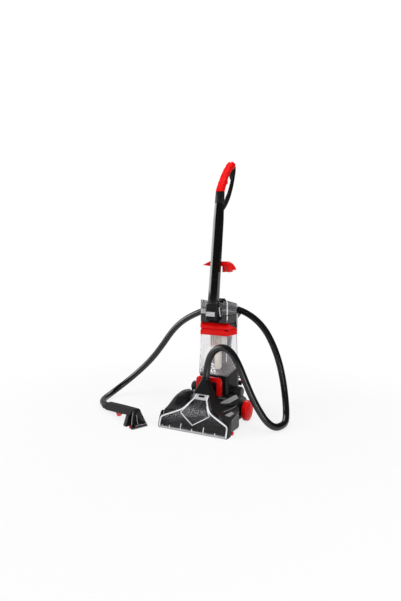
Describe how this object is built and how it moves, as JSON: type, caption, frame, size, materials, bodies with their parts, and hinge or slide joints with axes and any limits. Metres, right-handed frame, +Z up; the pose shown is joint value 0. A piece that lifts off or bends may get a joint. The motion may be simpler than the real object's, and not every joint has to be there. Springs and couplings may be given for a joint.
{
  "type": "upright carpet cleaner",
  "caption": "Upright carpet cleaner: clear suction nozzle, tilting dirty-water tank, lift-off clean tank, reclining pole with loop grip, long hose and hand tool.",
  "frame": {"origin": "middle of the nozzle lip's underside, on the floor at the front of the head", "axes": "+X to the machine's right as seen from the front, +Y to its back, +Z up"},
  "size_m": [0.9234, 0.4694, 1.0825],
  "materials": {
    "red": "gloss",
    "black_gloss": "gloss",
    "black_satin": "satin",
    "grey_dark": "satin",
    "grey_light": "satin",
    "clear": "clear",
    "smoke": "clear tinted",
    "beige": "satin",
    "rubber_black": "matte",
    "steel": "brushed",
    "motor_metal": "plain",
    "bristle_black": "fibres",
    "bristle_red": "fibres",
    "hose_black": "semi-gloss"
  },
  "bodies": {
    "head": {"chassis": "black_satin", "hood": "black_satin", "nozzle_cover": "smoke", "duct_back": "black_satin", "rear_wiper": "rubber_black", "side_bumpers": "rubber_black", "end_cap_right": "grey_dark", "end_cap_left": "grey_dark", "brush_motor": "motor_metal", "drive_belt": "rubber_black", "spray_bar": "grey_dark", "hose_adapter": "black_satin", "hose_collar": "black_satin", "wheel_axles": "steel", "pivot_bushes": "grey_dark", "hose": "hose_black", "tool_shell": "black_satin", "tool_nozzle": "smoke", "tool_brush": "bristle_red", "tool_cuff": "rubber_black"},
    "brush": {"brush_core": "black_satin", "brush_bristles": "bristle_black"},
    "brush_drive": {"motor_pulley": "steel"},
    "right_wheel": {"wheel_right": "red", "hub_cap_right": "red"},
    "left_wheel": {"wheel_left": "red", "hub_cap_left": "red"},
    "nozzle_lever": {"lock_lever": "red"},
    "right_latch": {"brush_latch_right": "red"},
    "left_latch": {"brush_latch_left": "red"},
    "spray_trigger": {"tool_trigger": "red"},
    "upright": {"motor_housing": "black_satin", "pivot_caps": "grey_dark", "suction_motor": "motor_metal", "water_pump": "grey_dark", "back_spine": "grey_dark", "upper_housing": "black_gloss", "pole_collar": "black_satin", "collar_plate": "grey_light", "handle_pole": "black_gloss", "grip_front": "red", "grip_loop": "black_satin", "trigger_pin": "steel", "tool_hook": "red", "hose_rest": "black_satin", "pedal_bracket": "black_satin", "cord_gland": "rubber_black", "spine_screws": "steel"},
    "fan": {"impeller": "grey_light"},
    "grip_trigger": {"trigger": "red"},
    "recline_pedal": {"foot_pedal": "red"},
    "tank": {"dirty_tank": "clear", "tank_lid": "red", "standpipe": "beige", "float_cage": "beige"},
    "float": {"float_disc": "red"},
    "water_tank": {"clean_tank": "smoke"},
    "cap": {"filler_cap": "black_satin"}
  },
  "joints": [
    {"name": "upright_recline", "type": "hinge", "parent": "head", "child": "upright", "pos_m": [0, 0.222, 0.118], "axis": [-1, 0, 0], "range_deg": [0, 60], "deforming": ["hose"]},
    {"name": "right_wheel_spin", "type": "hinge", "parent": "head", "child": "right_wheel", "pos_m": [0.1275, 0.228, 0.042], "axis": [1, 0, 0], "continuous": true},
    {"name": "left_wheel_spin", "type": "hinge", "parent": "head", "child": "left_wheel", "pos_m": [-0.1275, 0.228, 0.042], "axis": [1, 0, 0], "continuous": true},
    {"name": "brush_spin", "type": "hinge", "parent": "head", "child": "brush", "pos_m": [0, 0.07, 0.032], "axis": [1, 0, 0], "continuous": true},
    {"name": "drive_spin", "type": "hinge", "parent": "head", "child": "brush_drive", "pos_m": [-0.1, 0.126, 0.038], "axis": [1, 0, 0], "continuous": true},
    {"name": "nozzle_lever_turn", "type": "hinge", "parent": "head", "child": "nozzle_lever", "pos_m": [0, 0.146, 0.121], "axis": [-1, 0, 0], "range_deg": [0, 20]},
    {"name": "right_latch_slide", "type": "slide", "parent": "head", "child": "right_latch", "axis": [1, 0, 0], "range_m": [0, 0.005], "stiffness_N_per_m": 200},
    {"name": "left_latch_slide", "type": "slide", "parent": "head", "child": "left_latch", "axis": [-1, 0, 0], "range_m": [0, 0.005], "stiffness_N_per_m": 200},
    {"name": "spray_trigger_squeeze", "type": "hinge", "parent": "head", "child": "spray_trigger", "pos_m": [-0.38155, 0.03622, 0.018], "axis": [-0.4251, -0.9052, 0], "range_deg": [0, 8], "stiffness_Nm_per_rad": 1},
    {"name": "fan_spin", "type": "hinge", "parent": "upright", "child": "fan", "pos_m": [0, 0.2435, 0.16], "axis": [0, 0, 1], "continuous": true},
    {"name": "grip_trigger_squeeze", "type": "hinge", "parent": "upright", "child": "grip_trigger", "pos_m": [0, 0.288, 1.007], "axis": [-1, 0, 0], "range_deg": [0, 8], "stiffness_Nm_per_rad": 1},
    {"name": "pedal_press", "type": "hinge", "parent": "upright", "child": "recline_pedal", "pos_m": [0.056, 0.3106, 0.13], "axis": [-1, 0, 0], "range_deg": [0, 10], "stiffness_Nm_per_rad": 2},
    {"name": "tank_tilt", "type": "hinge", "parent": "upright", "child": "tank", "pos_m": [0, 0.183, 0.18614], "axis": [1, 0, 0], "range_deg": [0, 20]},
    {"name": "float_rise", "type": "slide", "parent": "tank", "child": "float", "axis": [0, 0, 1], "range_m": [0, 0.024]},
    {"name": "water_tank_lift", "type": "slide", "parent": "upright", "child": "water_tank", "axis": [0, 0.1366, 0.9906], "range_m": [0, 0.1]},
    {"name": "cap_turn", "type": "hinge", "parent": "water_tank", "child": "cap", "pos_m": [0, 0.262, 0.485], "axis": [0, 0, 1], "range_deg": [0, 90]}
  ],
  "couplings": [
    {"joint": "drive_spin", "follows": "brush_spin", "ratio": 2}
  ]
}
